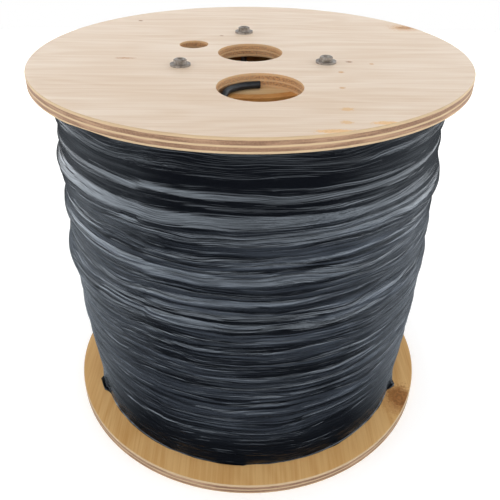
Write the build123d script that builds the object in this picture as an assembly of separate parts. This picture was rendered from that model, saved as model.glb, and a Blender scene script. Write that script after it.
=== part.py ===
"""Wooden cable drum standing on one flange, full of cable and wrapped in stretch film.

Millimetres, +Z up along the drum's axis. The origin is the centre of the underside of the
bottom flange, so the drum stands on z = 0. The cable hole is on the -Y side.
"""

from build123d import *
import math
import os

# Flanges: two plywood discs, and the distance between them.
flange_diameter = 400.0
flange_thickness = 12.0
flange_edge_ease = 0.8
traverse = 350.0
veneer_thickness = 2.0

# Holes in the flanges. Angles are measured from +X, anticlockwise from above.
arbor_hole_diameter = 60.0
drive_hole_diameter = 28.0
drive_hole_reach = 60.5
drive_hole_angle = 154.0
cable_hole_diameter = 70.0
cable_hole_offset = 6.3
cable_hole_angle = -85.3

# Stretches of the top flange's rim where the lowest veneer has chipped away: start and end angle.
chipped_rim_stretches = ((-134.0, -117.0), (-60.0, -52.0))

# Barrel: a thick tube between the flanges, centred at each end by a plywood ring.
barrel_diameter = 184.0
barrel_wall = 10.0
barrel_ring_thickness = 9.0
barrel_ring_width = 21.7
barrel_ring_clearance = 0.3
drive_notch_clearance = 1.0

# Three tie bolts with washers, pulled into tee nuts in the bottom flange.
bolt_count = 3
bolt_inset = 8.0
bolt_first_angle = 95.0
bolt_diameter = 6.0
bolt_hole_diameter = 7.0
bolt_head_across_flats = 10.0
bolt_head_height = 4.0
bolt_head_dish_diameter = 6.4
bolt_head_dish_depth = 0.9
bolt_head_chamfer = 0.6
bolt_end_height = 1.8
washer_diameter = 18.0
washer_thickness = 1.6
washer_bore_diameter = 6.4
tee_nut_flange_diameter = 19.0
tee_nut_flange_thickness = 1.2
tee_nut_sink = 0.3
tee_nut_barrel_diameter = 8.0
tee_nut_barrel_length = 9.0
tee_nut_thread_clearance = 0.1
tee_nut_fit = 0.3

# Wound cable: turns lie side by side from the barrel out to the film.
cable_diameter = 6.0
winding_end_diameter = 352.0
winding_head_gap = 7.0
turn_relief = 1.8

# The winding's uneven side, where some turns lie proud. Each pair is a place up the side, as a
# share of its height, and how far it stands out there beyond the radius at the two ends.
winding_side_places = (
    (0.0, 0.0),
    (0.20, 7.0),
    (0.33, 9.0),
    (0.39, 8.2),
    (0.47, 13.4),
    (0.55, 12.6),
    (0.635, 8.4),
    (0.68, 10.4),
    (0.72, 8.4),
    (0.80, 12.4),
    (0.84, 7.2),
    (0.885, 9.0),
    (0.92, 6.2),
    (0.955, 8.6),
    (1.0, 0.0),
)

# Stretch film drawn round the winding.
film_thickness = 0.8
film_gap = 0.3
film_hem_width = 6.0
film_lip_width = 9.0

# Start of the cable, led out through the cable hole: it crosses the winding's end under the
# flange, climbs over the barrel's end and lies along the far side of the hole.
cable_start_points = (
    (-35.5, -119.5, 358.4),
    (-27.6, -110.8, 358.4),
    (-23.0, -102.5, 359.6),
    (-21.4, -93.8, 364.7),
    (-18.6, -84.5, 366.2),
    (-11.5, -75.0, 365.6),
    (-1.8, -68.9, 365.5),
    (8.5, -67.2, 365.5),
)
arc_share = 0.45

# Heights that follow from the sizes above.
bottom_inner_face = flange_thickness
top_inner_face = bottom_inner_face + traverse
drum_height = top_inner_face + flange_thickness
winding_top = top_inner_face - winding_head_gap
barrel_radius = barrel_diameter / 2
barrel_bore_radius = barrel_radius - barrel_wall
winding_end_radius = winding_end_diameter / 2
cable_hole_reach = barrel_radius + cable_hole_offset
bolt_reach = barrel_bore_radius - bolt_inset


def polar(reach, angle):
    """The point at this distance and angle from the drum's axis."""
    return Vector(reach * math.cos(math.radians(angle)), reach * math.sin(math.radians(angle)))


def bolt_places():
    """Where the tie bolts stand, evenly round their circle."""
    return [polar(bolt_reach, bolt_first_angle + i * 360 / bolt_count) for i in range(bolt_count)]


def upright(radius, height, place=(0, 0), base=0.0):
    """A round bar or hole that stands on the height base."""
    return Pos(place[0], place[1], base) * Cylinder(
        radius, height, align=(Align.CENTER, Align.CENTER, Align.MIN)
    )


def flange(base):
    """A plywood disc with its arbor hole, its drive hole and eased edges."""
    disc = upright(flange_diameter / 2, flange_thickness, base=base)
    disc = chamfer(disc.edges(), flange_edge_ease)
    disc -= upright(arbor_hole_diameter / 2, flange_thickness, base=base)
    drive = polar(drive_hole_reach, drive_hole_angle)
    return disc - upright(drive_hole_diameter / 2, flange_thickness, (drive.X, drive.Y), base)


def rim_chip(start, end):
    """What is gone where the lowest veneer has broken off between two angles of the rim."""
    half_angle = (end - start) / 2
    chord_reach = flange_diameter / 2 * math.cos(math.radians(half_angle))
    chord_length = flange_diameter * math.sin(math.radians(half_angle))
    chip = Box(
        flange_diameter / 2,
        chord_length,
        veneer_thickness,
        align=(Align.MIN, Align.CENTER, Align.MIN),
    )
    return Pos(0, 0, top_inner_face) * Rot(0, 0, (start + end) / 2) * Pos(chord_reach, 0, 0) * chip


def top_flange():
    disc = flange(top_inner_face)
    hole = polar(cable_hole_reach, cable_hole_angle)
    disc -= upright(cable_hole_diameter / 2, flange_thickness, (hole.X, hole.Y), top_inner_face)
    for place in bolt_places():
        disc -= upright(bolt_hole_diameter / 2, flange_thickness, (place.X, place.Y), top_inner_face)
    for start, end in chipped_rim_stretches:
        disc -= rim_chip(start, end)
    return disc


def bottom_flange():
    """The lower disc, with a seat in its underside for each tee nut."""
    disc = flange(0.0)
    seat_depth = tee_nut_flange_thickness + tee_nut_sink
    for place in bolt_places():
        at = (place.X, place.Y)
        disc -= upright(tee_nut_barrel_diameter / 2 + tee_nut_fit, flange_thickness, at)
        disc -= upright(tee_nut_flange_diameter / 2 + tee_nut_fit, seat_depth, at)
    return disc


def barrel_tube():
    tube = upright(barrel_radius, traverse, base=bottom_inner_face)
    return tube - upright(barrel_bore_radius, traverse, base=bottom_inner_face)


def barrel_ring(base):
    """The plywood ring that centres one end of the barrel; the tie bolts pass through it."""
    ring_radius = barrel_bore_radius - barrel_ring_clearance
    ring = upright(ring_radius, barrel_ring_thickness, base=base)
    ring -= upright(ring_radius - barrel_ring_width, barrel_ring_thickness, base=base)
    for place in bolt_places():
        at = (place.X, place.Y)
        ring -= upright(bolt_hole_diameter / 2, barrel_ring_thickness, at, base)
    drive = polar(drive_hole_reach, drive_hole_angle)
    notch_radius = drive_hole_diameter / 2 + drive_notch_clearance
    return ring - upright(notch_radius, barrel_ring_thickness, (drive.X, drive.Y), base)


def tie_bolt(place):
    """A hexagon bolt with a dished head, from the washer down to the tee nut."""
    head_base = drum_height + washer_thickness
    blank = extrude(RegularPolygon(bolt_head_across_flats / 2, 6, major_radius=False), bolt_head_height)
    corner_radius = bolt_head_across_flats / math.sqrt(3)
    cap = Cone(
        corner_radius,
        corner_radius - bolt_head_chamfer * 2,
        bolt_head_chamfer,
        align=(Align.CENTER, Align.CENTER, Align.MIN),
    )
    body = upright(corner_radius, bolt_head_height - bolt_head_chamfer)
    head = blank & (body + Pos(0, 0, bolt_head_height - bolt_head_chamfer) * cap)
    dish = Cone(
        bolt_head_dish_diameter / 2 - bolt_head_dish_depth,
        bolt_head_dish_diameter / 2,
        bolt_head_dish_depth,
        align=(Align.CENTER, Align.CENTER, Align.MAX),
    )
    head -= Pos(0, 0, bolt_head_height) * dish
    shank = upright(bolt_diameter / 2, head_base - bolt_end_height, base=bolt_end_height - head_base)
    return Pos(place.X, place.Y, head_base) * (head + shank)


def washer(place):
    at = (place.X, place.Y)
    ring = upright(washer_diameter / 2, washer_thickness, at, drum_height)
    return ring - upright(washer_bore_diameter / 2, washer_thickness, at, drum_height)


def tee_nut(place):
    """A tee nut sunk into the underside: a round flange and a threaded barrel."""
    at = (place.X, place.Y)
    barrel_length = tee_nut_flange_thickness + tee_nut_barrel_length
    nut = upright(tee_nut_flange_diameter / 2, tee_nut_flange_thickness, at, tee_nut_sink)
    nut += upright(tee_nut_barrel_diameter / 2, barrel_length, at, tee_nut_sink)
    bore_radius = bolt_diameter / 2 + tee_nut_thread_clearance / 2
    return nut - upright(bore_radius, barrel_length, at, tee_nut_sink)


def side_spans(offset):
    """The winding's side, moved out by an offset, in straight spans from one high turn to the next."""
    side_height = winding_top - bottom_inner_face
    return Polyline(
        *(
            (winding_end_radius + rise + offset, 0, bottom_inner_face + share * side_height)
            for share, rise in winding_side_places
        )
    )


def turn_ridges(height, outward):
    """One face of the winding, from the barrel outwards.

    The turns nest, so at each end every second layer stands proud of the layers beside it.
    """
    ridge_width = 2 * cable_diameter * math.sqrt(3) / 2
    ridge_total = round((winding_end_radius - barrel_radius) / ridge_width)
    pitch = (winding_end_radius - barrel_radius) / ridge_total
    valley = height - outward * turn_relief
    points = [(barrel_radius, 0, valley)]
    for i in range(ridge_total):
        inner = barrel_radius + i * pitch
        points += [(inner + pitch / 2, 0, height), (inner + pitch, 0, valley)]
    points[-1] = (winding_end_radius, 0, height)
    return Polyline(*points)


def wound_cable():
    """The cable on the barrel as one turned body, with its turns showing on both ends."""
    outline = [
        turn_ridges(bottom_inner_face, -1),
        side_spans(0.0),
        turn_ridges(winding_top, 1),
        Line(
            (barrel_radius, 0, winding_top - turn_relief),
            (barrel_radius, 0, bottom_inner_face + turn_relief),
        ),
    ]
    return revolve(make_face(outline), Axis.Z)


def film_wrap():
    """The film skin, pulled tight in straight spans over the winding's high turns.

    It ends in a hem on the bottom flange and a lip over the winding's upper edge.
    """
    inner = winding_end_radius + film_gap
    outer = inner + film_thickness
    lip_low = winding_top + film_gap
    lip_high = lip_low + film_thickness
    lip_reach = inner - film_lip_width
    outline = [
        side_spans(film_gap),
        Polyline(
            (inner, 0, winding_top),
            (inner, 0, lip_low),
            (lip_reach, 0, lip_low),
            (lip_reach, 0, lip_high),
            (outer, 0, lip_high),
            (outer, 0, winding_top),
        ),
        side_spans(film_gap + film_thickness),
        Line((outer, 0, bottom_inner_face), (inner, 0, bottom_inner_face)),
    ]
    skin = revolve(make_face(outline), Axis.Z)
    hem = upright(outer + film_hem_width, film_thickness, base=bottom_inner_face)
    hem -= upright(inner + film_thickness / 2, film_thickness, base=bottom_inner_face)
    return skin + hem


def cable_start():
    """The free start of the cable: straight runs joined by arcs as large as the runs allow."""
    points = [Vector(*p) for p in cable_start_points]
    radii = []
    for before, corner, after in zip(points, points[1:], points[2:]):
        run = min((corner - before).length, (after - corner).length)
        turn = math.radians((corner - before).get_angle(after - corner))
        radii.append(arc_share * run / math.tan(turn / 2))
    print("cable start arc radii", [round(r, 1) for r in radii])
    path = FilletPolyline(*points, radius=radii)
    section = Plane(origin=path @ 0, z_dir=path % 0) * Circle(cable_diameter / 2)
    tail = sweep(section, path=path)
    print("cable start length", round(path.length, 1), "volume share",
          round(tail.volume / (path.length * math.pi * cable_diameter**2 / 4), 4))
    return tail


def drum():
    """Every piece of the drum under the name of its file."""
    pieces = {
        "bottom_flange": bottom_flange(),
        "top_flange": top_flange(),
        "barrel_tube": barrel_tube(),
        "barrel_ring_bottom": barrel_ring(bottom_inner_face),
        "barrel_ring_top": barrel_ring(top_inner_face - barrel_ring_thickness),
        "wound_cable": wound_cable(),
        "film_wrap": film_wrap(),
        "cable_start": cable_start(),
    }
    for number, place in enumerate(bolt_places(), 1):
        pieces[f"tie_bolt_{number}"] = tie_bolt(place)
        pieces[f"washer_{number}"] = washer(place)
        pieces[f"tee_nut_{number}"] = tee_nut(place)
    return pieces


os.makedirs("parts", exist_ok=True)
for name, piece in drum().items():
    export_step(piece, f"parts/{name}.step")
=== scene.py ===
# %% [markdown]
# A plywood cable drum, full of black cable and wrapped in stretch film.
# The solid model gives every piece its size and place. This lesson dresses it: it keeps the
# solids whose shape is right, models the wrinkled film, the wound turns and the free cable end
# again in finer meshes, and builds wood, board, zinc, plastic and film from nodes.

# %% Load the solid model as a fixed frame
import math

import bpy
import numpy as np
from mathutils import Matrix, Vector


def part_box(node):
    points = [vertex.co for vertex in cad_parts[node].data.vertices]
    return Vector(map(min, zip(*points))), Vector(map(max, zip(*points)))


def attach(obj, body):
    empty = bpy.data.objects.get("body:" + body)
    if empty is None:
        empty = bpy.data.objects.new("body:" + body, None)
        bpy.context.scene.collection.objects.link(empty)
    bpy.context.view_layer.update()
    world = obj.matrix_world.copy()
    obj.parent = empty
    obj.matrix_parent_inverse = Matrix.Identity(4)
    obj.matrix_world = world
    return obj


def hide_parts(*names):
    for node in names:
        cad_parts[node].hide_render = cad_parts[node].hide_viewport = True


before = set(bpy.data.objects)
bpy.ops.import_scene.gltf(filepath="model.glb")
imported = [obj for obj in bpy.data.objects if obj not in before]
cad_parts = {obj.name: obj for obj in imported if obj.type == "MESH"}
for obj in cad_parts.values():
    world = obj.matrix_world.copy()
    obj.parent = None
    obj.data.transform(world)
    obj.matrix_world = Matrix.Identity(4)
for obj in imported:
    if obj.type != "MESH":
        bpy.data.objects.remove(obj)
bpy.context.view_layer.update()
MM = 0.001
flange_low, flange_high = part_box("top_flange")
bottom_low, bottom_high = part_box("bottom_flange")

# %% [markdown]
# The camera comes first, because every later choice is judged through it. It could be moved by
# eye until the picture fits, but a photograph of a round thing fixes its own camera: the two
# flanges are circles, so the shape of their ellipses gives height, distance and lens. The small
# shift keeps the drum where the picture has it, and the small roll levels the flanges.

# %% Camera at the photograph's angle
camera_place = Vector((0.0, -0.5588, 0.52734))
camera_forward = Vector((0.0, 0.84745, -0.53088))
camera_roll = 0.00687
camera_lens_mm = 43.0
camera_shift = (0.0022, -0.0368)


def add_camera():
    """A camera that looks along camera_forward, turned a little about that line."""
    right = camera_forward.cross(Vector((0, 0, 1))).normalized()
    up = right.cross(camera_forward)
    turned_right = math.cos(camera_roll) * right + math.sin(camera_roll) * up
    turned_up = math.cos(camera_roll) * up - math.sin(camera_roll) * right
    data = bpy.data.cameras.new("photo_camera")
    data.lens = camera_lens_mm
    data.shift_x, data.shift_y = camera_shift
    camera = bpy.data.objects.new("photo_camera", data)
    axes = Matrix((turned_right, turned_up, -camera_forward)).transposed()
    camera.matrix_world = Matrix.Translation(camera_place) @ axes.to_4x4()
    bpy.context.scene.collection.objects.link(camera)
    bpy.context.scene.camera = camera


add_camera()
print("camera lens", camera_lens_mm, "mm")

# %% [markdown]
# Large soft panels light the wood and the floor from all round, and one hangs overhead. Black
# film shows little but what it mirrors, so its light is set apart: the panels stay out of
# reflections, and the world, two steps on, gives the film a bright ring that fades upward.
# Photographers light glossy black things like this, in a tent of cloth with lamps behind it.

# %% Soft studio light
bpy.context.scene.view_settings.view_transform = "Standard"
panel_count = 8
panel_reach = 1.75
panel_height = 0.74
panel_above_place = Vector((-0.15, -0.2, 1.85))
# Width, height and watts of a panel.
side_panel = (1.2, 0.9, 9.5)
panel_above = (1.2, 1.2, 5.1)
light_target = Vector((0.0, 0.0, 0.25))


def add_panel(name, place, panel):
    """A soft panel that faces the drum, out of the camera's sight and out of reflections."""
    data = bpy.data.lights.new(name, "AREA")
    data.shape = "RECTANGLE"
    data.size, data.size_y, data.energy = panel
    lamp = bpy.data.objects.new(name, data)
    lamp.location = place
    lamp.rotation_euler = (light_target - place).to_track_quat("-Z", "Y").to_euler()
    lamp.visible_camera = False
    lamp.visible_glossy = False
    bpy.context.scene.collection.objects.link(lamp)


for i in range(panel_count):
    panel_angle = math.radians(-90 + (i + 0.5) * 360 / panel_count)
    x, y = panel_reach * math.cos(panel_angle), panel_reach * math.sin(panel_angle)
    add_panel(f"panel_{i + 1}", Vector((x, y, panel_height)), side_panel)
add_panel("panel_above", panel_above_place, panel_above)
print("light panels", panel_count + 1)

# %% [markdown]
# A material or a world is a tree of nodes. Each node could be made and linked by hand in four or
# five lines, but a tree is easier to read when a few words make a node and its links. These
# helpers are used for the world, the node groups and every material.

# %% Helpers for node trees


def srgb(red, green, blue):
    """A colour as an image editor names it, from 0 to 255, made linear for a shader."""
    def linear(value):
        share = value / 255
        return share / 12.92 if share <= 0.04045 else ((share + 0.055) / 1.055) ** 2.4
    return (linear(red), linear(green), linear(blue), 1.0)


def grey(level):
    """A grey from 0, black, to 1, white."""
    return (level, level, level, 1.0)


def add_node(tree, kind, inputs=None, **settings):
    """A node of this kind; inputs gives values for its sockets, or sockets to link from."""
    node = tree.nodes.new(kind)
    for key, value in settings.items():
        setattr(node, key, value)
    for key, value in (inputs or {}).items():
        if isinstance(value, bpy.types.NodeSocket):
            tree.links.new(value, node.inputs[key])
        else:
            node.inputs[key].default_value = value
    return node


def math_node(tree, operation, first, second=0.0, third=0.0, clamp=False):
    """The result of one sum on two values, or on three."""
    values = {0: first, 1: second, 2: third}
    node = add_node(tree, "ShaderNodeMath", values, operation=operation, use_clamp=clamp)
    return node.outputs[0]


def vector_node(tree, operation, first, second=(0.0, 0.0, 0.0)):
    """The vector that one sum on one or two vectors gives."""
    values = {0: first, 1: second}
    return add_node(tree, "ShaderNodeVectorMath", values, operation=operation).outputs[0]


def length_of(tree, vector):
    """How long a vector is."""
    node = add_node(tree, "ShaderNodeVectorMath", {0: vector}, operation="LENGTH")
    return node.outputs["Value"]


def part_of(tree, vector, axis):
    """One of a vector's three parts, X, Y or Z."""
    return add_node(tree, "ShaderNodeSeparateXYZ", {0: vector}).outputs[axis]


def scaled(tree, vector, scale):
    """A vector stretched along its axes."""
    return add_node(tree, "ShaderNodeMapping", {"Vector": vector, "Scale": scale}).outputs[0]


def mix_colours(tree, share, first, second, blend="MIX"):
    """A share of the second colour laid over the first."""
    values = {0: share, 6: first, 7: second}
    return add_node(tree, "ShaderNodeMix", values, data_type="RGBA", blend_type=blend).outputs[2]


def ramp(tree, value, stops):
    """Colours placed along a value from 0 to 1."""
    node = add_node(tree, "ShaderNodeValToRGB", {"Fac": value})
    while len(node.color_ramp.elements) < len(stops):
        node.color_ramp.elements.new(0.5)
    for element, (place, colour) in zip(node.color_ramp.elements, stops):
        element.position = place
        element.color = colour
    return node.outputs["Color"]


def fade(tree, value, start, end, first=0.0, last=1.0):
    """A grey that goes from first to last as the value goes from start to end."""
    return ramp(tree, value, [(start, grey(first)), (end, grey(last))])


def noise(tree, vector, scale, detail=3.0, roughness=0.5, distortion=0.0):
    """Soft random clouds, from 0 to 1."""
    values = {
        "Vector": vector,
        "Scale": scale,
        "Detail": detail,
        "Roughness": roughness,
        "Distortion": distortion,
    }
    return add_node(tree, "ShaderNodeTexNoise", values).outputs["Fac"]


def stretched_noise(tree, vector, stretch, detail=3.0, roughness=0.5, distortion=0.0):
    """The same clouds, as fine along each axis as its stretch is large."""
    return noise(tree, scaled(tree, vector, stretch), 1.0, detail, roughness, distortion)


def bump(tree, height, distance, strength=1.0, normal=None):
    """A surface's normal, tilted as if the height stood up by the distance in metres."""
    inputs = {"Height": height, "Distance": distance, "Strength": strength}
    if normal is not None:
        inputs["Normal"] = normal
    return add_node(tree, "ShaderNodeBump", inputs).outputs["Normal"]


print("mid grey, as a shader has it", round(srgb(128, 128, 128)[0], 3))

# %% [markdown]
# Every ridge of the film has an upper side that leans back and mirrors what stands above the
# horizon. Lamps in the right places could give those streaks of light, but each would show its
# own outline. A ring drawn in the world has no outline: the world is plain white for the camera,
# a soft grey as light, and for reflections a ring that is brightest low down and stronger at the
# sides than in front.

# %% World
world_light_level = 0.3
# The sine of the elevation, and how bright the ring is there.
light_ring = [(0.0, 0.4), (0.1, 0.7), (0.2, 1.0), (0.34, 0.5), (0.55, 0.2), (0.8, 0.09)]
ring_strength = 7.5
# The share of that strength in front and behind, and how much more there is at the sides.
ring_front_share = 0.65
ring_side_share = 0.5
ring_tint = (0.88, 0.94, 1.0)


def reflected_ring(tree):
    """The ring of light that only reflections see."""
    direction = add_node(tree, "ShaderNodeTexCoord").outputs["Generated"]
    stops = []
    for place, level in light_ring:
        stops.append((place, (*(level * share for share in ring_tint), 1.0)))
    ring = ramp(tree, part_of(tree, direction, "Z"), stops)
    sideways = math_node(tree, "ABSOLUTE", part_of(tree, direction, "X"))
    side, front = ring_strength * ring_side_share, ring_strength * ring_front_share
    strength = math_node(tree, "MULTIPLY_ADD", sideways, side, front)
    scale = add_node(tree, "ShaderNodeVectorMath", {0: ring, 3: strength}, operation="SCALE")
    return scale.outputs[0]


def build_world():
    """White for the camera, soft grey as light, and the ring for reflections."""
    world = bpy.data.worlds.new("studio")
    world.use_nodes = True
    tree = world.node_tree
    tree.nodes.clear()
    path = add_node(tree, "ShaderNodeLightPath").outputs
    seen = math_node(tree, "MAXIMUM", path["Is Camera Ray"], path["Is Transmission Ray"])
    colour = mix_colours(tree, seen, grey(world_light_level), grey(1.0))
    colour = mix_colours(tree, path["Is Glossy Ray"], colour, reflected_ring(tree))
    background = add_node(tree, "ShaderNodeBackground", {"Color": colour, "Strength": 1.0})
    output = add_node(tree, "ShaderNodeOutputWorld")
    tree.links.new(background.outputs[0], output.inputs["Surface"])
    bpy.context.scene.world = world


build_world()
print("world nodes", len(bpy.context.scene.world.node_tree.nodes))

# %% [markdown]
# Some effects are needed by several materials. They could be copied into each, but a node group
# is made once and has named sockets to set it by. The first is the figure of sliced softwood:
# long fibres along X, slow bands of early and late wood across them, and fine pores. It puts out
# a tone from 0 to 1 and a height for the bump.

# %% Node groups: the figure of the wood
# How much of the tone comes from the bands, the streaks and the fibres, and of the height from
# the streaks.
band_tone, streak_tone, fibre_tone = 0.1, 0.33, 0.57
streak_height = 0.3
# Bands to a metre across the grain, and how far slow clouds push them aside.
bands_per_metre = 38.0
band_push = 9.0
full_turn = 6.2832


def new_group(name, inputs, outputs):
    """An empty node group with float or vector sockets."""
    group = bpy.data.node_groups.new(name, "ShaderNodeTree")
    for socket_name, socket_type, value in inputs:
        socket = group.interface.new_socket(socket_name, in_out="INPUT", socket_type=socket_type)
        if value is not None:
            socket.default_value = value
    for socket_name, socket_type in outputs:
        group.interface.new_socket(socket_name, in_out="OUTPUT", socket_type=socket_type)
    return group, group.nodes.new("NodeGroupInput"), group.nodes.new("NodeGroupOutput")


def build_wood_figure():
    """Veneer with its fibres along X."""
    group, given, result = new_group(
        "wood_figure",
        [("Place", "NodeSocketVector", None)],
        [("Tone", "NodeSocketFloat"), ("Height", "NodeSocketFloat")],
    )
    place = given.outputs["Place"]
    slow = stretched_noise(group, place, (3.5, 16.0, 10.0), 2.0)
    pushed = math_node(group, "MULTIPLY", slow, band_push)
    across = math_node(group, "MULTIPLY", part_of(group, place, "Y"), bands_per_metre)
    phase = math_node(group, "MULTIPLY", math_node(group, "ADD", across, pushed), full_turn)
    bands = math_node(group, "MULTIPLY_ADD", math_node(group, "SINE", phase), 0.5, 0.5)
    fibres = stretched_noise(group, place, (14.0, 520.0, 60.0), 5.0, 0.6)
    streaks = stretched_noise(group, place, (4.0, 95.0, 30.0), 3.0, 0.55)
    soft = math_node(group, "MULTIPLY", bands, band_tone)
    middle = math_node(group, "MULTIPLY", streaks, streak_tone)
    fine = math_node(group, "MULTIPLY", fibres, fibre_tone)
    tone = math_node(group, "ADD", math_node(group, "ADD", soft, middle), fine, clamp=True)
    height = math_node(group, "ADD", fine, math_node(group, "MULTIPLY", streaks, streak_height))
    group.links.new(tone, result.inputs["Tone"])
    group.links.new(height, result.inputs["Height"])
    return group


wood_figure = build_wood_figure()
print("wood figure", len(wood_figure.nodes), "nodes")

# %% [markdown]
# A knot is a branch cut across: a dark spot with growth rings, and a rough edge where the fibres
# bend round it. It could be painted on a picture, but a group with a centre, a radius and a
# stretch can be placed as often as the veneer needs it.

# %% Node groups: a knot
# How fine and how strong the roughness of its edge is, how quickly it fades out, and its rings.
knot_edge_fineness = 380.0
knot_edge_rough = 1.9
knot_edge_least = 0.1
knot_fade = 2.6
knot_rings = 22.0


def build_knot():
    """A round knot in the veneer: a mask that fades out, and its growth rings."""
    group, given, result = new_group(
        "veneer_knot",
        [
            ("Place", "NodeSocketVector", None),
            ("Centre", "NodeSocketVector", None),
            ("Radius", "NodeSocketFloat", 0.006),
            ("Stretch", "NodeSocketFloat", 1.0),
        ],
        [("Mask", "NodeSocketFloat"), ("Rings", "NodeSocketFloat")],
    )
    place = given.outputs["Place"]
    offset = vector_node(group, "SUBTRACT", place, given.outputs["Centre"])
    along = math_node(group, "DIVIDE", part_of(group, offset, "X"), given.outputs["Stretch"])
    flat = add_node(group, "ShaderNodeCombineXYZ", {"X": along, "Y": part_of(group, offset, "Y")})
    reach = length_of(group, flat.outputs[0])
    ratio = math_node(group, "DIVIDE", reach, given.outputs["Radius"])
    rough = noise(group, place, knot_edge_fineness, 3.0, 0.7)
    rough = math_node(group, "MULTIPLY_ADD", rough, knot_edge_rough, knot_edge_least)
    ratio = math_node(group, "MULTIPLY", ratio, rough)
    inside = math_node(group, "SUBTRACT", 1.0, ratio, clamp=True)
    mask = math_node(group, "MULTIPLY", inside, knot_fade, clamp=True)
    rings = math_node(group, "SINE", math_node(group, "MULTIPLY", ratio, knot_rings))
    rings = math_node(group, "MULTIPLY_ADD", rings, 0.5, 0.5)
    group.links.new(mask, result.inputs["Mask"])
    group.links.new(rings, result.inputs["Rings"])
    return group


veneer_knot = build_knot()
print("knot", len(veneer_knot.nodes), "nodes")

# %% [markdown]
# A cut edge of plywood shows its plies. Those with their fibres along the edge are pale, those
# cut across the fibres are dark and open. Thin strips of mesh could show them, but the height
# within the board is enough to choose the ply, and a slow wander keeps the lines from looking
# drawn with a ruler.

# %% Node groups: the plies of a cut edge
# Where the two dark plies of five begin and end, as shares of the thickness, and how soft that is.
dark_plies = ((0.165, 0.415), (0.54, 0.825))
ply_softness = 0.012
ply_wander = 0.0007


def build_ply_layers():
    """The five plies on a cut edge: a light long-grain ply, a dark end-grain one, and so on."""
    group, given, result = new_group(
        "ply_layers",
        [
            ("Place", "NodeSocketVector", None),
            ("Base", "NodeSocketFloat", 0.0),
            ("Thickness", "NodeSocketFloat", 0.012),
        ],
        [
            ("Dark", "NodeSocketFloat"),
            ("Speckle", "NodeSocketFloat"),
            ("Height", "NodeSocketFloat"),
        ],
    )
    place = given.outputs["Place"]
    wander = stretched_noise(group, place, (45.0, 45.0, 20.0), 3.0, 0.6)
    wander = math_node(group, "MULTIPLY_ADD", wander, ply_wander, -ply_wander / 2)
    above_base = math_node(group, "SUBTRACT", part_of(group, place, "Z"), given.outputs["Base"])
    lifted = math_node(group, "ADD", above_base, wander)
    share = math_node(group, "DIVIDE", lifted, given.outputs["Thickness"], clamp=True)
    pale, dark = grey(0.0), grey(1.0)
    stops = []
    for begin, end in dark_plies:
        stops += [(begin - ply_softness, pale), (begin + ply_softness, dark)]
        stops += [(end - ply_softness, dark), (end + ply_softness, pale)]
    speckle = stretched_noise(group, place, (700.0, 700.0, 900.0), 3.0, 0.7)
    streak = stretched_noise(group, place, (60.0, 60.0, 1600.0), 3.0, 0.6)
    group.links.new(ramp(group, share, stops), result.inputs["Dark"])
    group.links.new(speckle, result.inputs["Speckle"])
    group.links.new(streak, result.inputs["Height"])
    return group


ply_layers = build_ply_layers()
print("node groups", len(bpy.data.node_groups))

# %% [markdown]
# Plywood has two looks: the face shows the veneer's long figure, and every cut edge shows the
# plies. They could be two materials given face by face. One material holds both here, because
# the surface's own normal can choose: faces point up or down, edges and hole walls point
# sideways. Knots and stains are placed by their real position.

# %% Plywood
pale_ply = (srgb(172, 146, 114), srgb(208, 184, 150))
dark_ply = (srgb(72, 52, 40), srgb(166, 130, 104))
worn_ply = srgb(178, 146, 118)
# A warm light tan for the hole walls: partly torn fibres, partly painted warm bounce light in the
# holes.
torn_wall_and_bounce_light = srgb(214, 162, 108)
# The veneer is warm up to the first of these tones and pale from the second on, with clouds.
veneer_tones = (0.3, 0.62)
cloud_strength = 0.35
# The height of the grain in metres, and how strongly it tilts the surface.
wood_relief = (0.0004, 0.5)
wood_roughness = 0.62
# Cut edges nearer the drum's axis than this are the walls of holes.
hole_wall_reach = 0.17
# A normal with a larger upward part than this belongs to a face.
face_normal = 0.9


def new_material(name):
    """A material with only its shader and output, and the object's own coordinates."""
    material = bpy.data.materials.new(name)
    material.use_nodes = True
    tree = material.node_tree
    tree.nodes.clear()
    output = tree.nodes.new("ShaderNodeOutputMaterial")
    shader = tree.nodes.new("ShaderNodeBsdfPrincipled")
    tree.links.new(shader.outputs[0], output.inputs["Surface"])
    coordinates = tree.nodes.new("ShaderNodeTexCoord")
    return material, tree, shader, coordinates.outputs["Object"]


def place_group(tree, group, inputs):
    """A shared node group placed in a material with its own values."""
    return add_node(tree, "ShaderNodeGroup", inputs, node_tree=group)


def veneer_face(tree, place, pale, warm, knots, grain_turn):
    """The colour and the height of a face, with its knots."""
    turn = {"Vector": place, "Rotation": (0.0, 0.0, grain_turn)}
    grain = add_node(tree, "ShaderNodeMapping", turn).outputs["Vector"]
    figure = place_group(tree, wood_figure, {"Place": grain})
    veneer = ramp(tree, figure.outputs["Tone"], list(zip(veneer_tones, (warm, pale))))
    cloud = fade(tree, stretched_noise(tree, grain, (6.0, 11.0, 5.0), 3.0, 0.55), 0.42, 0.68)
    cloud = math_node(tree, "MULTIPLY", cloud, cloud_strength)
    veneer = mix_colours(tree, cloud, veneer, warm)
    for centre, radius, stretch, ring_colour, core_colour, amount in knots:
        values = {"Place": place, "Centre": centre, "Radius": radius, "Stretch": stretch}
        knot = place_group(tree, veneer_knot, values)
        colour = mix_colours(tree, knot.outputs["Rings"], core_colour, ring_colour)
        share = math_node(tree, "MULTIPLY", knot.outputs["Mask"], amount)
        veneer = mix_colours(tree, share, veneer, colour)
    return veneer, figure.outputs["Height"]


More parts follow.
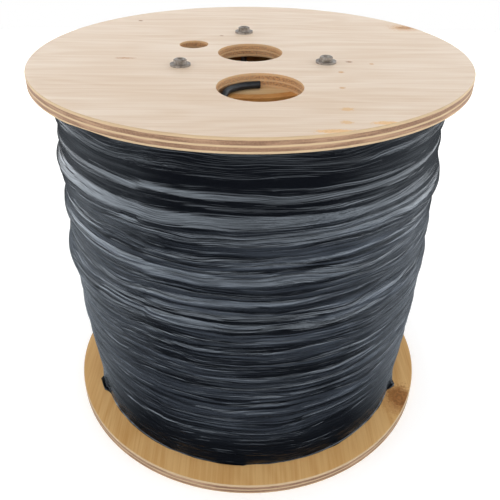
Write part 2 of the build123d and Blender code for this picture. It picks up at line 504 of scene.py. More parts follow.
def cut_edge(tree, place, base, thickness):
    """The colour and the height of a cut edge, torn in the holes and lightened there with painted
    warm bounce light.
    """
    values = {"Place": place, "Base": base, "Thickness": thickness}
    layers = place_group(tree, ply_layers, values).outputs
    pale = mix_colours(tree, layers["Height"], *pale_ply)
    dark = mix_colours(tree, layers["Speckle"], *dark_ply)
    along_rim = stretched_noise(tree, place, (26.0, 26.0, 320.0), 3.0, 0.6)
    along_rim = fade(tree, along_rim, 0.44, 0.62, 0.0, 0.65)
    dark = mix_colours(tree, along_rim, dark, worn_ply)
    edge = mix_colours(tree, layers["Dark"], pale, dark)
    reach = length_of(tree, vector_node(tree, "MULTIPLY", place, (1.0, 1.0, 0.0)))
    in_hole = math_node(tree, "LESS_THAN", reach, hole_wall_reach)
    rough_grain = fade(tree, layers["Speckle"], 0.4, 0.62, 0.15, 0.75)
    # Hole walls turn warm light tan here: partly torn fibres, partly painted warm bounce light.
    edge = mix_colours(tree, math_node(tree, "MULTIPLY", in_hole, rough_grain), edge, torn_wall_and_bounce_light)
    return edge, math_node(tree, "SUBTRACT", layers["Height"], layers["Dark"])


def plywood(name, low, high, pale, warm, knots, grain_turn):
    """Bare plywood: pale and warm are the veneer's two tones, grain_turn its fibres' direction."""
    material, tree, shader, place = new_material(name)
    veneer, veneer_height = veneer_face(tree, place, pale, warm, knots, grain_turn)
    edge, edge_height = cut_edge(tree, place, low.z, high.z - low.z)
    upward = part_of(tree, tree.nodes["Texture Coordinate"].outputs["Normal"], "Z")
    is_face = math_node(tree, "ABSOLUTE", upward)
    is_face = math_node(tree, "GREATER_THAN", is_face, face_normal)
    colour = mix_colours(tree, is_face, edge, veneer)
    tree.links.new(colour, shader.inputs["Base Color"])
    height = add_node(tree, "ShaderNodeMix", {0: is_face, 2: edge_height, 3: veneer_height})
    tree.links.new(bump(tree, height.outputs[0], *wood_relief), shader.inputs["Normal"])
    shader.inputs["Roughness"].default_value = wood_roughness
    shader.inputs["Specular IOR Level"].default_value = 0.25
    return material


print("hole walls lie within", hole_wall_reach, "m of the axis")

# %% [markdown]
# The three boards differ in their veneer, and the bottom board's darker, warmer tones are also
# painted shade from the top flange and the pack above it. Real knots have places, so each is given
# by its centre on the board, its radius, how far it is drawn out along the fibres, its two colours
# and how strongly it shows. The pale drawn-out ones near the rim are splinters torn from the
# veneer.

# %% The boards and their knots
brown, dark_brown = srgb(176, 118, 66), srgb(96, 58, 30)
honey, torn = srgb(214, 168, 104), srgb(232, 188, 134)
top_knots = [
    ((0.165, 0.098, flange_high.z), 0.0075, 1.5, brown, dark_brown, 0.9),
    ((0.165, 0.098, flange_high.z), 0.016, 1.3, honey, brown, 0.5),
    ((-0.112, -0.0215, flange_high.z), 0.0024, 5.0, brown, brown, 0.75),
    ((-0.121, 0.123, flange_high.z), 0.003, 1.0, brown, dark_brown, 0.8),
    ((-0.029, 0.06, flange_high.z), 0.0022, 1.2, brown, dark_brown, 0.7),
    ((0.088, -0.029, flange_high.z), 0.0028, 1.3, brown, dark_brown, 0.8),
    ((0.077, -0.059, flange_high.z), 0.003, 1.0, honey, brown, 0.8),
    ((0.073, -0.1, flange_high.z), 0.0026, 1.2, honey, brown, 0.7),
    ((0.107, -0.035, flange_high.z), 0.0026, 1.0, honey, brown, 0.7),
    ((0.0705, -0.147, flange_high.z), 0.0045, 1.3, honey, honey, 0.6),
    ((0.0665, -0.172, flange_high.z), 0.004, 1.3, honey, honey, 0.6),
    ((0.058, -0.188, flange_high.z), 0.004, 4.5, torn, honey, 0.8),
    ((0.095, -0.173, flange_high.z), 0.004, 3.5, torn, honey, 0.8),
]
bottom_knots = [
    ((0.171, -0.086, bottom_high.z), 0.019, 0.8, srgb(150, 96, 50), srgb(84, 50, 26), 0.85),
    ((0.17, -0.09, bottom_high.z), 0.03, 0.8, srgb(176, 122, 68), srgb(150, 98, 52), 0.45),
]
top_veneer = (srgb(227, 210, 192), srgb(210, 184, 158))
# The bottom board is darker and warmer than the top: its own veneer, and painted shade beneath the
# top flange and the pack.
bottom_veneer_and_shade = (srgb(214, 174, 118), srgb(190, 142, 82))
ring_veneer = (srgb(214, 184, 142), srgb(190, 148, 96))


def dress(node_name, material):
    """Gives a solid of the frame this material."""
    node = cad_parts[node_name]
    node.data.materials.clear()
    node.data.materials.append(material)


for material_name, veneer, knots, grain_turn, boards in (
    ("plywood_top", top_veneer, top_knots, 0.0, ["top_flange"]),
    ("plywood_bottom", bottom_veneer_and_shade, bottom_knots, math.pi / 2, ["bottom_flange"]),
    ("plywood_ring", ring_veneer, [], 0.0, ["barrel_ring_top", "barrel_ring_bottom"]),
):
    board_low, board_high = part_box(boards[0])
    wood = plywood(material_name, board_low, board_high, *veneer, knots, grain_turn)
    for board in boards:
        dress(board, wood)
    print(material_name, "on", len(boards), "solids with", len(knots), "knots")

# %% [markdown]
# The barrel is a thick tube of brown board, the fixings are plain zinc gone dull outdoors, and the
# cable's sheath is a smooth black plastic with a faint bloom of dust. Each could be one flat
# colour, but the holes show them close up, so a little noise breaks up every colour and surface.

# %% Board, zinc and sheath
board_brown = (srgb(168, 108, 50), srgb(206, 150, 84))
zinc_greys = (srgb(92, 82, 72), srgb(126, 117, 108), srgb(152, 145, 138))
sheath_blacks = (srgb(15, 16, 18), srgb(38, 40, 43))


def barrel_board():
    """Rolled board with short fibres round the tube."""
    material, tree, shader, place = new_material("barrel_board")
    fibres = stretched_noise(tree, place, (90.0, 90.0, 500.0), 5.0, 0.65)
    colour = ramp(tree, fibres, [(0.3, board_brown[0]), (0.7, board_brown[1])])
    tree.links.new(colour, shader.inputs["Base Color"])
    tree.links.new(bump(tree, fibres, 0.0003, 0.6), shader.inputs["Normal"])
    shader.inputs["Roughness"].default_value = 0.75
    return material


def weathered_zinc():
    """Cloudy grey zinc with fine pits, part metal and part dull crust."""
    material, tree, shader, place = new_material("weathered_zinc")
    clouds = noise(tree, place, 260.0, 4.0, 0.6)
    colour = ramp(tree, clouds, list(zip((0.34, 0.52, 0.7), zinc_greys)))
    tree.links.new(colour, shader.inputs["Base Color"])
    rough = math_node(tree, "MULTIPLY_ADD", clouds, -0.2, 0.72)
    tree.links.new(rough, shader.inputs["Roughness"])
    pits = noise(tree, place, 1400.0, 2.0)
    tree.links.new(bump(tree, pits, 0.0001, 0.5), shader.inputs["Normal"])
    shader.inputs["Metallic"].default_value = 0.4
    shader.inputs["Specular IOR Level"].default_value = 0.3
    return material


def cable_sheath():
    """Black plastic with dust in its grain."""
    material, tree, shader, place = new_material("cable_sheath")
    dust = noise(tree, place, 320.0, 4.0, 0.6)
    colour = ramp(tree, dust, [(0.42, sheath_blacks[0]), (0.75, sheath_blacks[1])])
    tree.links.new(colour, shader.inputs["Base Color"])
    tree.links.new(bump(tree, dust, 0.00008, 0.5), shader.inputs["Normal"])
    shader.inputs["Roughness"].default_value = 0.5
    shader.inputs["Specular IOR Level"].default_value = 0.25
    return material


tube_board, zinc, sheath = barrel_board(), weathered_zinc(), cable_sheath()
dress("barrel_tube", tube_board)
for number in (1, 2, 3):
    for piece in ("tie_bolt", "washer", "tee_nut"):
        dress(f"{piece}_{number}", zinc)
print("materials", len(bpy.data.materials))

# %% [markdown]
# The film is the drum's main surface. It is wound on by hand in many turns, so it is a skin
# pulled tight over the high turns of cable and over its own gathered folds. Its ridges run round
# the drum, slant a little and cross. A cloth simulation could wrinkle it, but such folds come
# from the pull of the winding and not from weight, so a tube is cut into fine rows, and its
# points are then pushed out over the ridges, as a sculptor would. The rows are cut twice,
# because one subdivide makes at most 100 cuts.

# %% Stretch film: the tube
film_around = 240
# The wall is cut into 64 rows, and each of those into 5.
film_rows = (64, 5)
film_bottom = bottom_high.z
film_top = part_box("wound_cable")[1].z + 0.6 * MM
film_end_radius = 175.0 * MM
# An edge whose ends differ by more than this in height is an upright one.
upright_rise = 0.1 * MM


def only_this(piece):
    """Selects one piece and nothing else."""
    bpy.ops.object.select_all(action="DESELECT")
    piece.select_set(True)
    bpy.context.view_layer.objects.active = piece


def edit_mesh():
    """Goes into edit mode, where edges are what is picked."""
    bpy.context.tool_settings.mesh_select_mode = (False, True, False)
    bpy.ops.object.mode_set(mode="EDIT")


def back_to_objects():
    """Leaves edit mode, so that the mesh's data can be read and written."""
    bpy.ops.object.mode_set(mode="OBJECT")


def read_points(piece):
    """A mesh's points as rows of x, y and z."""
    flat = np.empty(len(piece.data.vertices) * 3)
    piece.data.vertices.foreach_get("co", flat)
    return flat.reshape(-1, 3)


def write_points(piece, points):
    """Puts changed points back into the mesh."""
    piece.data.vertices.foreach_set("co", points.ravel())
    piece.data.update()


def edge_ends(mesh):
    """The numbers of the two points of every edge."""
    ends = np.empty(len(mesh.edges) * 2, dtype=np.int32)
    mesh.edges.foreach_get("vertices", ends)
    return ends.reshape(-1, 2)


def select_edges(mesh, picked):
    """Selects these edges with their points, and nothing else, ready for edit mode."""
    touched = np.zeros(len(mesh.vertices), dtype=bool)
    touched[edge_ends(mesh)[picked].ravel()] = True
    mesh.polygons.foreach_set("select", np.zeros(len(mesh.polygons), dtype=bool))
    mesh.edges.foreach_set("select", picked)
    mesh.vertices.foreach_set("select", touched)


def film_tube():
    """An open tube with its wall cut into even rows."""
    bpy.ops.object.select_all(action="DESELECT")
    bpy.ops.mesh.primitive_cylinder_add(
        vertices=film_around,
        radius=film_end_radius,
        depth=film_top - film_bottom,
        end_fill_type="NOTHING",
        location=(0, 0, (film_top + film_bottom) / 2),
    )
    tube = bpy.context.active_object
    tube.name = "stretch_film"
    bpy.ops.object.transform_apply(location=True, rotation=True, scale=True)
    for parts in film_rows:
        levels = read_points(tube)[:, 2][edge_ends(tube.data)]
        upright = np.abs(levels[:, 0] - levels[:, 1]) > upright_rise
        select_edges(tube.data, upright)
        edit_mesh()
        bpy.ops.mesh.subdivide(number_cuts=parts - 1)
        back_to_objects()
    return tube


film = film_tube()
print("film tube", len(film.data.vertices), "points")

# %% [markdown]
# The wound pack under the film bulges where turns have climbed. Its bulges lie a little higher on
# the left than on the right, so each has a height, a slant, and a rise for either side. The film
# between them follows one plain outline, fuller under the top flange than at the foot. A formula
# of height and angle gives both, because every point of the fine tube can then be asked for its
# radius at once.

# %% Stretch film: the pack's bulges
# Height and radius of the plain outline.
film_outline_mm = [
    (12, 175.5),
    (45, 177.5),
    (82, 180),
    (110, 181.5),
    (146, 183),
    (232, 183),
    (270, 182.5),
    (301, 180.5),
    (327, 179.5),
    (340, 180.5),
    (352, 180.4),
    (357, 180),
]
# Height, how much higher it lies on the left, half height, and rise on the left, right and front.
pack_bulges_mm = [
    (334, 1, 6, 2.4, 2.6, 0.5),
    (313, 2, 7, 2.0, 1.6, 0.8),
    (286, 5, 11, 4.6, 3.6, 2.4),
    (239, 9, 8, 2.8, 0.9, 1.8),
    (189, 5, 20, 5.6, 1.8, 3.4),
    (125, 2, 10, 1.6, 0.2, 1.0),
    (92, 2, 7, 0.6, 0.6, 0.6),
]


def pack_radius(angle, height):
    """The film's radius before its folds, in mm, with the angle from +X."""
    leftness = -np.cos(angle)
    outline = np.array(film_outline_mm, dtype=float)
    radius = np.interp(height, outline[:, 0], outline[:, 1])
    for level, slant, half_height, rise_left, rise_right, rise_front in pack_bulges_mm:
        side_rise = (rise_left + rise_right) / 2 + (rise_left - rise_right) / 2 * leftness
        rise = rise_front + (side_rise - rise_front) * leftness**2
        offset = (height - level - slant * leftness) / half_height
        radius = radius + rise * np.exp(-(offset**2))
    return radius


print("pack radius at mid height, mm", pack_radius(0.0, 180.0))

# %% [markdown]
# A gathered fold of film is a rope that lies along the drum and lifts the skin over it. Where two
# ropes meet, the skin touches the higher one, so the folds are joined by taking the highest rather
# than by adding: that leaves a rounded crest on each and a sharp crease between. Long ropes go far
# round the drum, and many short ones fade out at both ends.

# %% Stretch film: one fold
film_random = np.random.default_rng(11)
# A fold falls slowly above its crest and quickly below it: its two widths, as shares.
slope_above, slope_below = 1.25, 0.65
# Its line round the drum is a sum of this many waves, each weaker than the last by this power.
stray_waves = (1, 2, 3)
stray_fall = 1.3
# The share of a short fold's half span over which it fades.
soft_share = 0.8


def turn_distance(angle, centre):
    """The shorter way round from a centre, in radians, with its sign."""
    return (angle - centre + math.pi) % (2 * math.pi) - math.pi


def soft_window(distance, half_span, soft):
    """One inside a span and zero outside it, with soft ends."""
    share = np.clip((half_span - np.abs(distance)) / soft, 0, 1)
    return share * share * (3 - 2 * share)


def wander(angle, level, size):
    """A line round the drum that strays slowly above and below its level."""
    line = level
    for i in stray_waves:
        shift = film_random.uniform(0, 2 * math.pi)
        line = line + size / i**stray_fall * np.sin(i * angle + shift)
    return line


def rope(angle, height, level, size, rise, half_width, sharpness):
    """How far one fold lifts the skin: a crest that falls slowly above and quickly below."""
    offset = height - wander(angle, level, size)
    offset = np.where(offset > 0, offset / slope_above, -offset / slope_below) / half_width
    return rise * (1 - offset**sharpness)


half_way = float(soft_window(0.5, 1.0, soft_share))
print("half way along its span a short fold keeps", round(half_way, 2), "of its rise")

# %% Stretch film: all folds
# The main folds: height, rise, half width and how round their crest is.
main_folds_mm = [
    (329, 1.0, 4.8, 1.5),
    (312, 1.1, 4.8, 1.5),
    (295, 2.0, 6.4, 1.5),
    (275, 3.1, 8.4, 1.6),
    (258, 1.6, 4.4, 1.3),
    (243, 3.1, 7.2, 1.6),
    (229, 1.9, 4.0, 1.3),
    (218, 2.9, 6.0, 1.5),
    (206, 1.9, 4.0, 1.3),
    (195, 3.0, 6.4, 1.5),
    (182, 1.8, 3.1, 1.4),
    (171, 2.4, 4.0, 1.5),
    (157, 2.2, 3.4, 1.4),
    (146, 2.0, 2.7, 1.4),
    (135, 2.4, 3.7, 1.5),
    (124, 2.0, 2.9, 1.4),
    (113, 2.3, 3.5, 1.5),
    (101, 2.1, 3.0, 1.4),
    (90, 2.0, 2.9, 1.4),
    (79, 1.9, 2.7, 1.4),
    (69, 1.8, 2.6, 1.4),
    (59, 1.7, 2.5, 1.4),
    (49, 1.5, 2.5, 1.4),
    (39, 1.1, 2.5, 1.4),
]
# How far a main fold strays from its height, from least to most.
main_fold_stray = (0.8, 2.2)
# A main fold swells to its full rise in fewer than this many places, and keeps this much of it
# in between.
swell_places = 4
swell_middle, swell_size = 0.8, 0.2
# How many smaller folds, then their half span, rise and half width, each from least to most, and
# how far they slant.
short_folds = (260, (0.3, 1.4), (0.9, 1.7), (1.9, 3.2), 10)
fine_folds = (480, (0.2, 0.9), (0.4, 1.0), (1.6, 2.8), 6)
# A smaller fold's share of that slant, and how round its crest is, from least to most.
slant_shares = (0.25, 1)
short_sharpness = (1, 1.7)
# A power over 1 puts more of the smaller folds low down.
low_crowding = 1.3
# Places where a fold has been pushed in: its left end, height, length, half height and depth.
tucks = [
    (-123.5, 290, 9, 2.2, 1.4),
    (-111.0, 267, 11, 2.4, 1.8),
]


def scattered_folds(angle, height, folds):
    """The highest of many folds that each cover part of the circle, more of them low down."""
    count, spans, rises, widths, slant = folds
    lift = np.zeros_like(height)
    for _ in range(count):
        centre = film_random.uniform(-math.pi, math.pi)
        half_span = film_random.uniform(*spans)
        level_share = film_random.uniform() ** low_crowding
        level = film_bottom / MM + (film_top - film_bottom) / MM * level_share
        size = film_random.uniform(*slant_shares) * slant
        rise = film_random.uniform(*rises)
        half_width = film_random.uniform(*widths)
        sharpness = film_random.uniform(*short_sharpness)
        fold = rope(angle, height, level, size, rise, half_width, sharpness)
        distance = turn_distance(angle, centre)
        lift = np.maximum(lift, fold * soft_window(distance, half_span, half_span * soft_share))
    return lift


def film_folds(angle, height):
    """How far all the folds together lift the film, in mm."""
    lift = np.zeros_like(height)
    for level, rise, half_width, sharpness in main_folds_mm:
        waves = film_random.integers(1, swell_places)
        shift = film_random.uniform(0, 2 * math.pi)
        swell = swell_middle + swell_size * np.sin(waves * angle + shift)
        stray = film_random.uniform(*main_fold_stray)
        fold = rope(angle, height, level, stray, rise, half_width, sharpness)
        lift = np.maximum(lift, fold * swell)
    lift = np.maximum(lift, scattered_folds(angle, height, short_folds))
    lift = lift + scattered_folds(angle, height, fine_folds)
    for centre, level, half_length, half_height, depth in tucks:
        along = turn_distance(angle, math.radians(centre)) / math.radians(half_length)
        inside = (along > 0) & (along < 1) & (np.abs(height - level) < half_height)
        lift = lift - depth * (1 - along) * inside
    return lift


print("main folds", len(main_folds_mm), "and smaller ones", short_folds[0] + fine_folds[0])

# %% [markdown]
# The last turn of film ends in an upright edge, and the folds do not line up across it. A second
# sheet of mesh could lie over the first, but its edge would be a hair's breadth thick. It is
# enough that the radius steps out there and the folds behind the step are shifted up and down.
# The folds fade out at the foot and at the head, where the film is held by the flange and the lip.

# %% Stretch film: its final shape
film_join_angle = math.radians(-118)
# How wide the step is and how soon it fades, in radians, and how far it stands out in mm.
join_width, join_fade, join_rise = 0.02, 0.5, 0.7
# The shift of the folds behind it is two waves over the height: size and length in mm.
join_shift_mm = ((3.5, 19), (1.5, 9))
# How much of its full rise the stretched film lets a fold keep, and how far it lies in between.
fold_share = 0.72
fold_sink = 0.4
# The heights over which the folds fade at the foot and at the head, what is left of them at the
# foot, and the smooth band at the head.
foot_fade, foot_share = 42, 0.15
head_fade, head_band = 40, 6


def shape_film(tube):
    """Moves every point of the tube to the film's radius at its height and angle."""
    points = read_points(tube)
    angle = np.arctan2(points[:, 1], points[:, 0])
    height = points[:, 2] / MM
    past_join = turn_distance(angle, film_join_angle)
    step = np.clip(past_join / join_width, 0, 1)
    step = step * np.exp(-np.clip(past_join, 0, None) / join_fade)
    shift = sum(size * np.sin(height / length) for size, length in join_shift_mm)
    folds = film_folds(angle, height + shift * step)
    foot = np.clip((height - film_bottom / MM) / foot_fade, 0, 1)
    head = np.clip((film_top / MM - height - head_band) / head_fade, 0, 1)
    share = np.minimum(foot_share + (1 - foot_share) * foot, head)
    relief = (fold_share * folds - fold_sink + join_rise * step) * share
    radius = pack_radius(angle, height) + relief
    points[:, 0] = radius * MM * np.cos(angle)
    points[:, 1] = radius * MM * np.sin(angle)
    write_points(tube, points)
    return radius.min(), radius.max()


print("film radius, least and most, mm", shape_film(film))

# %% [markdown]
# The film's ends are folded like a parcel's: at the top it turns in over the last turns, and at
# the foot a ragged hem spreads a little on the flange. Both are extruded from the end rows. The
# lip is then carried down inside as a plain inner wall, so that the film is a closed shell. A
# solidify modifier would give it a thickness too, but its inner side would cut through itself
# behind the sharp creases.

# %% Stretch film: lip, hem and inner wall
film_lip_width = 9 * MM
film_lip_lift = 0.3 * MM
film_hem_width = 2.2 * MM
film_hem_lift = 0.25 * MM
film_under_hem = 0.2 * MM
film_wall = 0.6 * MM
inner_levels_mm = [354, 344, 328, 316, 300, 286, 260, 245, 230, 200, 173, 146, 125, 80, 40, 14]
# The inner wall stays inside every crease within this height of it.
wall_search = 5 * MM
# Points this near in height are on the same ring.
ring_gap = 0.05 * MM
# The hem's torn edge: its waves round the drum, their size about the middle, and its limit.
hem_waves = (5, 11, 17, 29, 43, 61)
hem_middle, hem_size, hem_limit = 0.5, 0.35, 1.6


def least_radius(points, level):
    """The least radius of these points within a few mm of a height."""
    near = np.abs(points[:, 2] - level) < wall_search
    return np.hypot(points[near, 0], points[near, 1]).min()


def ring_at(points, level):
    """The numbers of the points that lie at this height."""
    return np.nonzero(np.abs(points[:, 2] - level) < ring_gap)[0]


def extrude_ring(tube, old_ring, new_radius, lift):
    """Extrudes a ring of points up or down, to a new radius; old_ring holds their numbers."""
    count = len(tube.data.vertices)
    select_edges(tube.data, np.isin(edge_ends(tube.data), old_ring).all(axis=1))
    edit_mesh()
    bpy.ops.mesh.extrude_region_move(TRANSFORM_OT_translate={"value": (0, 0, lift)})
    back_to_objects()
    points = read_points(tube)
    new_ring = np.arange(count, len(points))
    angle = np.arctan2(points[new_ring, 1], points[new_ring, 0])
    radius = np.hypot(points[new_ring, 0], points[new_ring, 1])
    radius = new_radius(angle, radius)
    points[new_ring, 0] = radius * np.cos(angle)
    points[new_ring, 1] = radius * np.sin(angle)
    write_points(tube, points)
    return new_ring


def ragged(angle):
    """A torn edge: several waves that never quite repeat, from 0 to about 1."""
    waves = sum(np.sin(k * angle + k * k) / k**0.5 for k in hem_waves)
    return np.clip(hem_middle + hem_size * waves, 0, hem_limit)


def close_film(tube):
    """Turns the open tube into a shell with a lip, a hem and an inner wall."""
    outside = read_points(tube)
    top, foot = ring_at(outside, film_top), ring_at(outside, film_bottom)
    only_this(tube)
    lip = extrude_ring(tube, top, lambda angle, radius: radius - film_lip_width, film_lip_lift)
    last = extrude_ring(tube, lip, lambda angle, radius: radius, -film_wall)
    level = film_top + film_lip_lift - film_wall
    for next_level in (height * MM for height in inner_levels_mm):
        wall = least_radius(outside, next_level) - film_wall
        last = extrude_ring(tube, last, lambda angle, radius: wall, next_level - level)
        level = next_level
    hem = extrude_ring(
        tube, foot, lambda angle, radius: radius + film_hem_width * ragged(angle), film_hem_lift
    )
    under = extrude_ring(tube, hem, lambda angle, radius: radius - film_under_hem, -film_hem_lift)
    under = extrude_ring(tube, under, lambda angle, radius: wall, 0.0)
    ends = edge_ends(tube.data)
    select_edges(tube.data, np.isin(ends, under).all(axis=1) | np.isin(ends, last).all(axis=1))
    edit_mesh()
    bpy.ops.mesh.bridge_edge_loops()
    bpy.ops.mesh.select_all(action="SELECT")
    bpy.ops.mesh.normals_make_consistent(inside=False)
    back_to_objects()


close_film(film)
print("film shell", len(film.data.vertices), "points")

# %% [markdown]
# Here and there the hem has come loose and stands up in a short flap. The points near the foot
# are pulled out and up within a few degrees, which keeps the shell closed.

# %% Stretch film: loose flaps
# Where a flap is, half its span in degrees, and how far it stands out in mm.
hem_flaps = ((-157, 5, 5), (-22, 3.5, 6), (118, 5, 4), (-95, 6, 1.5))
flap_height = 7 * MM
flap_softness = 0.05
# Points further in than this belong to the inner wall and stay.
flap_least_reach = film_end_radius - 3 * MM
# How much of the way out a flap's edge also goes up.
flap_lift = 0.9


def raise_flaps(tube):
    """A few short flaps where the hem has come loose and stands up."""
    points = read_points(tube)
    reach = np.hypot(points[:, 0], points[:, 1])
    angle = np.arctan2(points[:, 1], points[:, 0])
    near_foot = np.clip(1 - (points[:, 2] - film_bottom) / flap_height, 0, 1)
    outside = reach > flap_least_reach
    for centre, half_span, out in hem_flaps:
        distance = turn_distance(angle, math.radians(centre))
        flap = soft_window(distance, math.radians(half_span), flap_softness)
        share = flap * near_foot * outside * out * MM
        points[:, 0] += share * np.cos(angle)
        points[:, 1] += share * np.sin(angle)
        points[:, 2] += np.where(reach > film_end_radius + MM, share * flap_lift, 0)
    write_points(tube, points)


raise_flaps(film)
only_this(film)
bpy.ops.object.shade_smooth()
print("film", sum(len(p.vertices) - 2 for p in film.data.polygons), "triangles")

# %% [markdown]
# The film's finish is nearly black and very glossy. Fine lines run along it, so its noise is
# squeezed in height and long around the drum. Patches of small crinkles break the gloss where the
# film was pulled over a turn's end. A thin milky bloom lies where many layers are stretched, on
# the crests of the lines at mid height, and it is also painted sheen for the light those crests
# mirror.
# Lines as fine as these could be modelled too, but a bump does it with no more points.

# %% Stretch film: finish
film_black, film_bloom_and_sheen = srgb(8, 10, 15), srgb(62, 68, 77)
film_tint = (0.9, 0.95, 1.0, 1.0)
film_ior = 1.5
# How rough the smooth film is, and how much rougher the crinkled patches are.
film_rough, patch_rough = 0.12, 0.08
# How far, in metres, the lines stray up and down.
line_stray = 0.022
# How fine each noise is along X, Y and Z: a large last number makes lines round the drum.
stray_stretch = (8.0, 8.0, 22.0)
line_stretch = (7.0, 7.0, 330.0)
thread_stretch = (12.0, 12.0, 1100.0)
patch_stretch = (9.0, 9.0, 26.0)
crinkle_stretch = (130.0, 130.0, 360.0)
# Where on its noise a patch or a pale streak begins, and where it is full.
patch_edge, streak_edge = (0.52, 0.66), (0.42, 0.62)
# How much bloom and painted sheen a streak has outside the patches, and how much more inside.
plain_bloom_and_sheen, patch_bloom_and_sheen = 0.6, 0.4
# The height of lines, threads and crinkles in metres, and how strongly they tilt the surface.
line_relief, thread_relief, crinkle_relief = (0.0016, 0.85), (0.0003, 0.6), (0.0009, 0.5)
# Heights as shares of the film's top between which the bloom and its painted sheen come and go.
bloom_and_sheen_levels = ((0.12, 0.22), (0.74, 0.86))
# The same for the lines, which are weaker in the slack film at the head.
slack_levels, slack_share = (0.8, 0.88), 0.25


def film_finish():
    """Glossy black film with lines round the drum, crinkled patches and a thin bloom that is also
    painted sheen on the crests.
    """
    material, tree, shader, place = new_material("stretch_film")
    stray = stretched_noise(tree, place, stray_stretch, 2.0)
    stray = math_node(tree, "MULTIPLY", stray, line_stray)
    stray = add_node(tree, "ShaderNodeCombineXYZ", {"Z": stray}).outputs[0]
    strayed = vector_node(tree, "ADD", place, stray)
    lines = stretched_noise(tree, strayed, line_stretch, 3.0, 0.6, 0.2)
    threads = stretched_noise(tree, strayed, thread_stretch, 2.0, 0.6)
    patches = fade(tree, stretched_noise(tree, place, patch_stretch, 3.0, 0.6), *patch_edge)
    crinkles = stretched_noise(tree, place, crinkle_stretch, 3.0, 0.65, 1.0)
    level = math_node(tree, "DIVIDE", part_of(tree, place, "Z"), film_top)
    begin, end = bloom_and_sheen_levels
    stops = zip((*begin, *end), (grey(0.0), grey(1.0), grey(1.0), grey(0.0)))
    bloom_and_sheen_band = ramp(tree, level, list(stops))
    slack = fade(tree, level, *slack_levels, 1.0, slack_share)
    # The pale streaks on the crests are partly milky bloom and partly painted sheen.
    streaks = fade(tree, lines, *streak_edge)
    bloom_and_sheen = math_node(tree, "MULTIPLY_ADD", patches, patch_bloom_and_sheen, plain_bloom_and_sheen)
    bloom_and_sheen = math_node(tree, "MULTIPLY", streaks, bloom_and_sheen)
    bloom_and_sheen = math_node(tree, "MULTIPLY", bloom_and_sheen, bloom_and_sheen_band)
    tree.links.new(mix_colours(tree, bloom_and_sheen, film_black, film_bloom_and_sheen), shader.inputs["Base Color"])
    rough = math_node(tree, "MULTIPLY_ADD", patches, patch_rough, film_rough)
    tree.links.new(rough, shader.inputs["Roughness"])
    broad = bump(tree, math_node(tree, "MULTIPLY", lines, slack), *line_relief)
    fine = bump(tree, threads, *thread_relief, broad)
    height = math_node(tree, "MULTIPLY", crinkles, patches)
    tree.links.new(bump(tree, height, *crinkle_relief, fine), shader.inputs["Normal"])
    shader.inputs["IOR"].default_value = film_ior
    shader.inputs["Specular Tint"].default_value = film_tint
    return material


film.data.materials.append(film_finish())
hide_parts("film_wrap")
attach(film, "root")
print("film finish", len(film.data.materials[0].node_tree.nodes), "nodes")

# %% [markdown]
# Through the cable hole the ends of the wound turns show. The turns nest, each layer sitting in
# the groove of the one below, so alternate layers stand half a turn back. Every turn could be a
# ring of its own, but only their ends are ever seen, so a profile of round turns is drawn point
# by point and spun about the drum's axis into one closed body.

# %% Wound turns
turn_radius = 3.0 * MM
winding_low, winding_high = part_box("wound_cable")
barrel_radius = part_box("barrel_tube")[1].x
winding_side_radius = 173.5 * MM
# The part of a turn's round that is drawn: where it starts and how far it goes, as shares of a
# half circle, and in how many steps.
turn_start, turn_sweep, turn_steps = 0.82, 0.64, 5
winding_steps = 144
winding_smooth_angle = math.radians(50)


def turn_profile():
    """The winding's section: round turns across both ends, plain along bore and side."""
    layer_rise = turn_radius * math.sqrt(3)
    layers = int((winding_side_radius - barrel_radius) / layer_rise)
    top = []
    for i in range(layers):
        centre = barrel_radius + turn_radius + i * layer_rise
        back = 0.0 if i % 2 == 0 else turn_radius
        for k in range(turn_steps + 1):
            side = math.pi * (turn_start - turn_sweep * k / turn_steps)
            reach = centre + turn_radius * math.cos(side)
            level = winding_high.z - turn_radius - back + turn_radius * math.sin(side)
            top.append((reach, level))
    middle = (winding_high.z + winding_low.z) / 2
    bottom = [(reach, 2 * middle - level) for reach, level in reversed(top)]
    bore_top = (barrel_radius, winding_high.z - 2 * turn_radius)
    bore_bottom = (barrel_radius, winding_low.z + 2 * turn_radius)
    return [bore_top, *top, *bottom, bore_bottom]


def spun_winding():
    """The profile spun about the drum's axis and closed."""
    profile = turn_profile()
    points = [(reach, 0, level) for reach, level in profile]
    edges = [(i, (i + 1) % len(profile)) for i in range(len(profile))]
    mesh = bpy.data.meshes.new("wound_turns")
    mesh.from_pydata(points, edges, [])
    winding = bpy.data.objects.new("wound_turns", mesh)
    bpy.context.scene.collection.objects.link(winding)
    only_this(winding)
    edit_mesh()
    bpy.ops.mesh.select_all(action="SELECT")
    bpy.ops.mesh.spin(
        steps=winding_steps, angle=2 * math.pi, center=(0, 0, 0), axis=(0, 0, 1)
    )
    bpy.ops.mesh.select_all(action="SELECT")
    bpy.ops.mesh.remove_doubles(threshold=0.01 * MM)
    bpy.ops.mesh.normals_make_consistent(inside=False)
    back_to_objects()
    bpy.ops.object.shade_smooth_by_angle(angle=winding_smooth_angle)
    return winding


winding = spun_winding()
winding.data.materials.append(sheath)
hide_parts("wound_cable")
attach(winding, "root")
print("wound turns", len(winding.data.polygons), "faces")

# %% [markdown]
# The free start of the cable is a real length of cable that comes up out of the winding and ends
# in a clean cut. A bent tube of mesh could stand for it, but a curve with a round bevel keeps the
# cable's line as a few points that are easy to move. They are the points of the solid model's
# cable.

# %% Cable start
cable_start_points_mm = [
    (-35.5, -119.5, 358.4),
    (-27.6, -110.8, 358.4),
    (-23.0, -102.5, 359.6),
    (-21.4, -93.8, 364.7),
    (-18.6, -84.5, 366.2),
    (-11.5, -75.0, 365.6),
    (-1.8, -68.9, 365.5),
    (8.5, -67.2, 365.5),
]


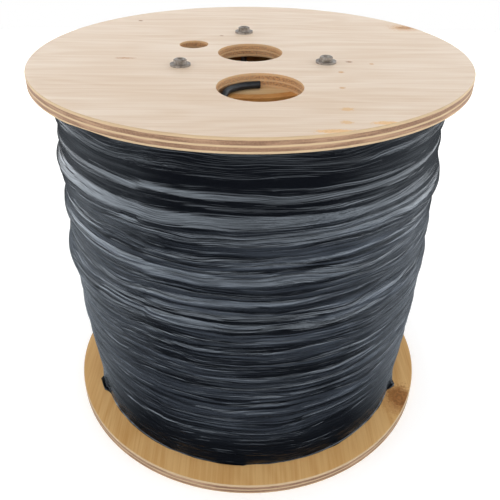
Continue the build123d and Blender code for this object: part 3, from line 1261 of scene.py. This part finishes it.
def cable_curve(name, points_mm, radius):
    """A smooth round cable near these points, with flat ends."""
    data = bpy.data.curves.new(name, "CURVE")
    data.dimensions = "3D"
    spline = data.splines.new("NURBS")
    spline.points.add(len(points_mm) - 1)
    for point, place in zip(spline.points, points_mm):
        point.co = (*(MM * v for v in place), 1.0)
    spline.order_u = 3
    spline.use_endpoint_u = True
    spline.resolution_u = 8
    data.bevel_depth = radius
    data.bevel_resolution = 6
    data.use_fill_caps = True
    cable = bpy.data.objects.new(name, data)
    bpy.context.scene.collection.objects.link(cable)
    return cable


cable_start = cable_curve("cable_start_end", cable_start_points_mm, turn_radius)
cable_start.data.materials.append(sheath)
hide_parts("cable_start")
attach(cable_start, "root")
print("cable start", len(cable_start_points_mm), "points")

# %% [markdown]
# The floor is a plain pale sheet, so that the drum stands on something and keeps its shadow. It
# could be lit until it is white, but then the wood would be too bright, so it glows a little
# where the camera sees it.

# %% Floor
floor_size = 3.3
floor_level = 0.94
floor_glow = 0.2


def studio_floor():
    """A pale sheet with a slight glow that only the camera sees."""
    bpy.ops.object.select_all(action="DESELECT")
    bpy.ops.mesh.primitive_plane_add(size=floor_size, location=(0, 0, 0))
    floor = bpy.context.active_object
    floor.name = "studio_floor"
    material, tree, shader, _ = new_material("studio_floor")
    shader.inputs["Base Color"].default_value = grey(floor_level)
    shader.inputs["Roughness"].default_value = 0.9
    shader.inputs["Specular IOR Level"].default_value = 0.1
    seen_by_camera = add_node(tree, "ShaderNodeLightPath").outputs["Is Camera Ray"]
    glow = math_node(tree, "MULTIPLY", seen_by_camera, floor_glow)
    shader.inputs["Emission Color"].default_value = grey(1.0)
    tree.links.new(glow, shader.inputs["Emission Strength"])
    floor.data.materials.append(material)
    return floor


floor = studio_floor()
print("floor", floor_size, "m")

# %% [markdown]
# The lower side of every ridge mirrors the floor, which is white here and would make the film
# pale. In a studio a dark card is laid round the thing for this. The card is a flat ring just
# above the bottom flange that only reflections see, so it darkens neither the floor nor the wood.
# It is lighter towards the sides, where the film's ridges show soft light.

# %% Dark card, seen only in reflections
# The card's inner and outer radius.
card_reach = (177.5 * MM, 1.5)
card_level = bottom_high.z + 0.5 * MM
card_sides, card_front = (0.5, 0.55, 0.6, 1.0), (0.03, 0.034, 0.04, 1.0)
# From the side shade to the front one, by how far a direction turns away from the sides.
card_turn = (0.3, 0.75)
# The card fades to this share of its lightness between these radii.
card_fade, card_far_share = (0.3, 0.65), 0.35


def dark_card():
    """A flat ring with a hole for the drum, hidden from everything but reflections."""
    bpy.ops.object.select_all(action="DESELECT")
    bpy.ops.mesh.primitive_circle_add(
        vertices=64, radius=card_reach[1], location=(0, 0, card_level)
    )
    card = bpy.context.active_object
    card.name = "dark_card"
    edit_mesh()
    bpy.ops.mesh.extrude_region_move()
    inner_share = card_reach[0] / card_reach[1]
    bpy.ops.transform.resize(value=(inner_share, inner_share, 1))
    back_to_objects()
    material, tree, shader, place = new_material("dark_card")
    forward = part_of(tree, vector_node(tree, "NORMALIZE", place), "Y")
    forward = math_node(tree, "ABSOLUTE", forward)
    shade = ramp(tree, forward, list(zip(card_turn, (card_sides, card_front))))
    nearness = fade(tree, length_of(tree, place), *card_fade, 1.0, card_far_share)
    shade = mix_colours(tree, 1.0, shade, nearness, "MULTIPLY")
    tree.links.new(shade, shader.inputs["Base Color"])
    shader.inputs["Roughness"].default_value = 1.0
    card.data.materials.append(material)
    card.visible_camera = False
    card.visible_diffuse = False
    card.visible_transmission = False
    card.visible_shadow = False
    return card


dark_card()
print("dark card", card_reach[0], "to", card_reach[1], "m")
